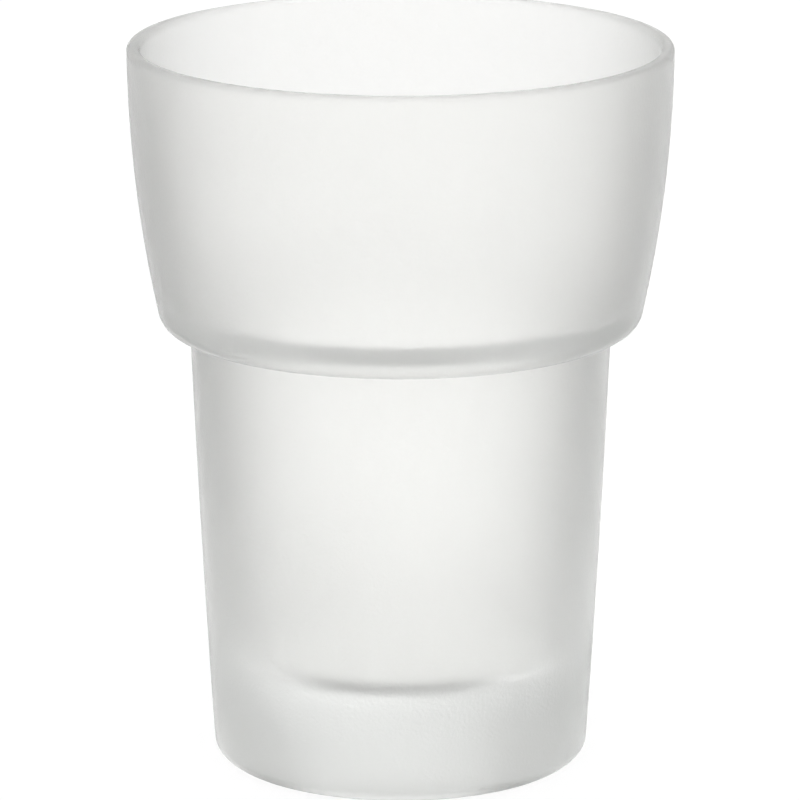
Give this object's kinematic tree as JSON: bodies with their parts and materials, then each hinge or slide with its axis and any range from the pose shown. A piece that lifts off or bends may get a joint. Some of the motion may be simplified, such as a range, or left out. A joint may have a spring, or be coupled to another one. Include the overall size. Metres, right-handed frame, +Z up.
{
  "type": "bathroom tumbler",
  "caption": "Stepped tumbler of frosted glass: a bowed cup over a tapering foot, with a shoulder that drops into a holder ring or stands free on a vanity.",
  "frame": {"origin": "centre of the ring the tumbler stands on, in the plane of the table", "axes": "+Z up along the tumbler's axis; +X and +Y are alike, because the tumbler is round"},
  "size_m": [0.072, 0.072, 0.097],
  "materials": {
    "satin_glass": "colourless glass with an acid-etched satin skin"
  },
  "bodies": {
    "root": {"glass_tumbler": "satin_glass"}
  },
  "joints": []
}
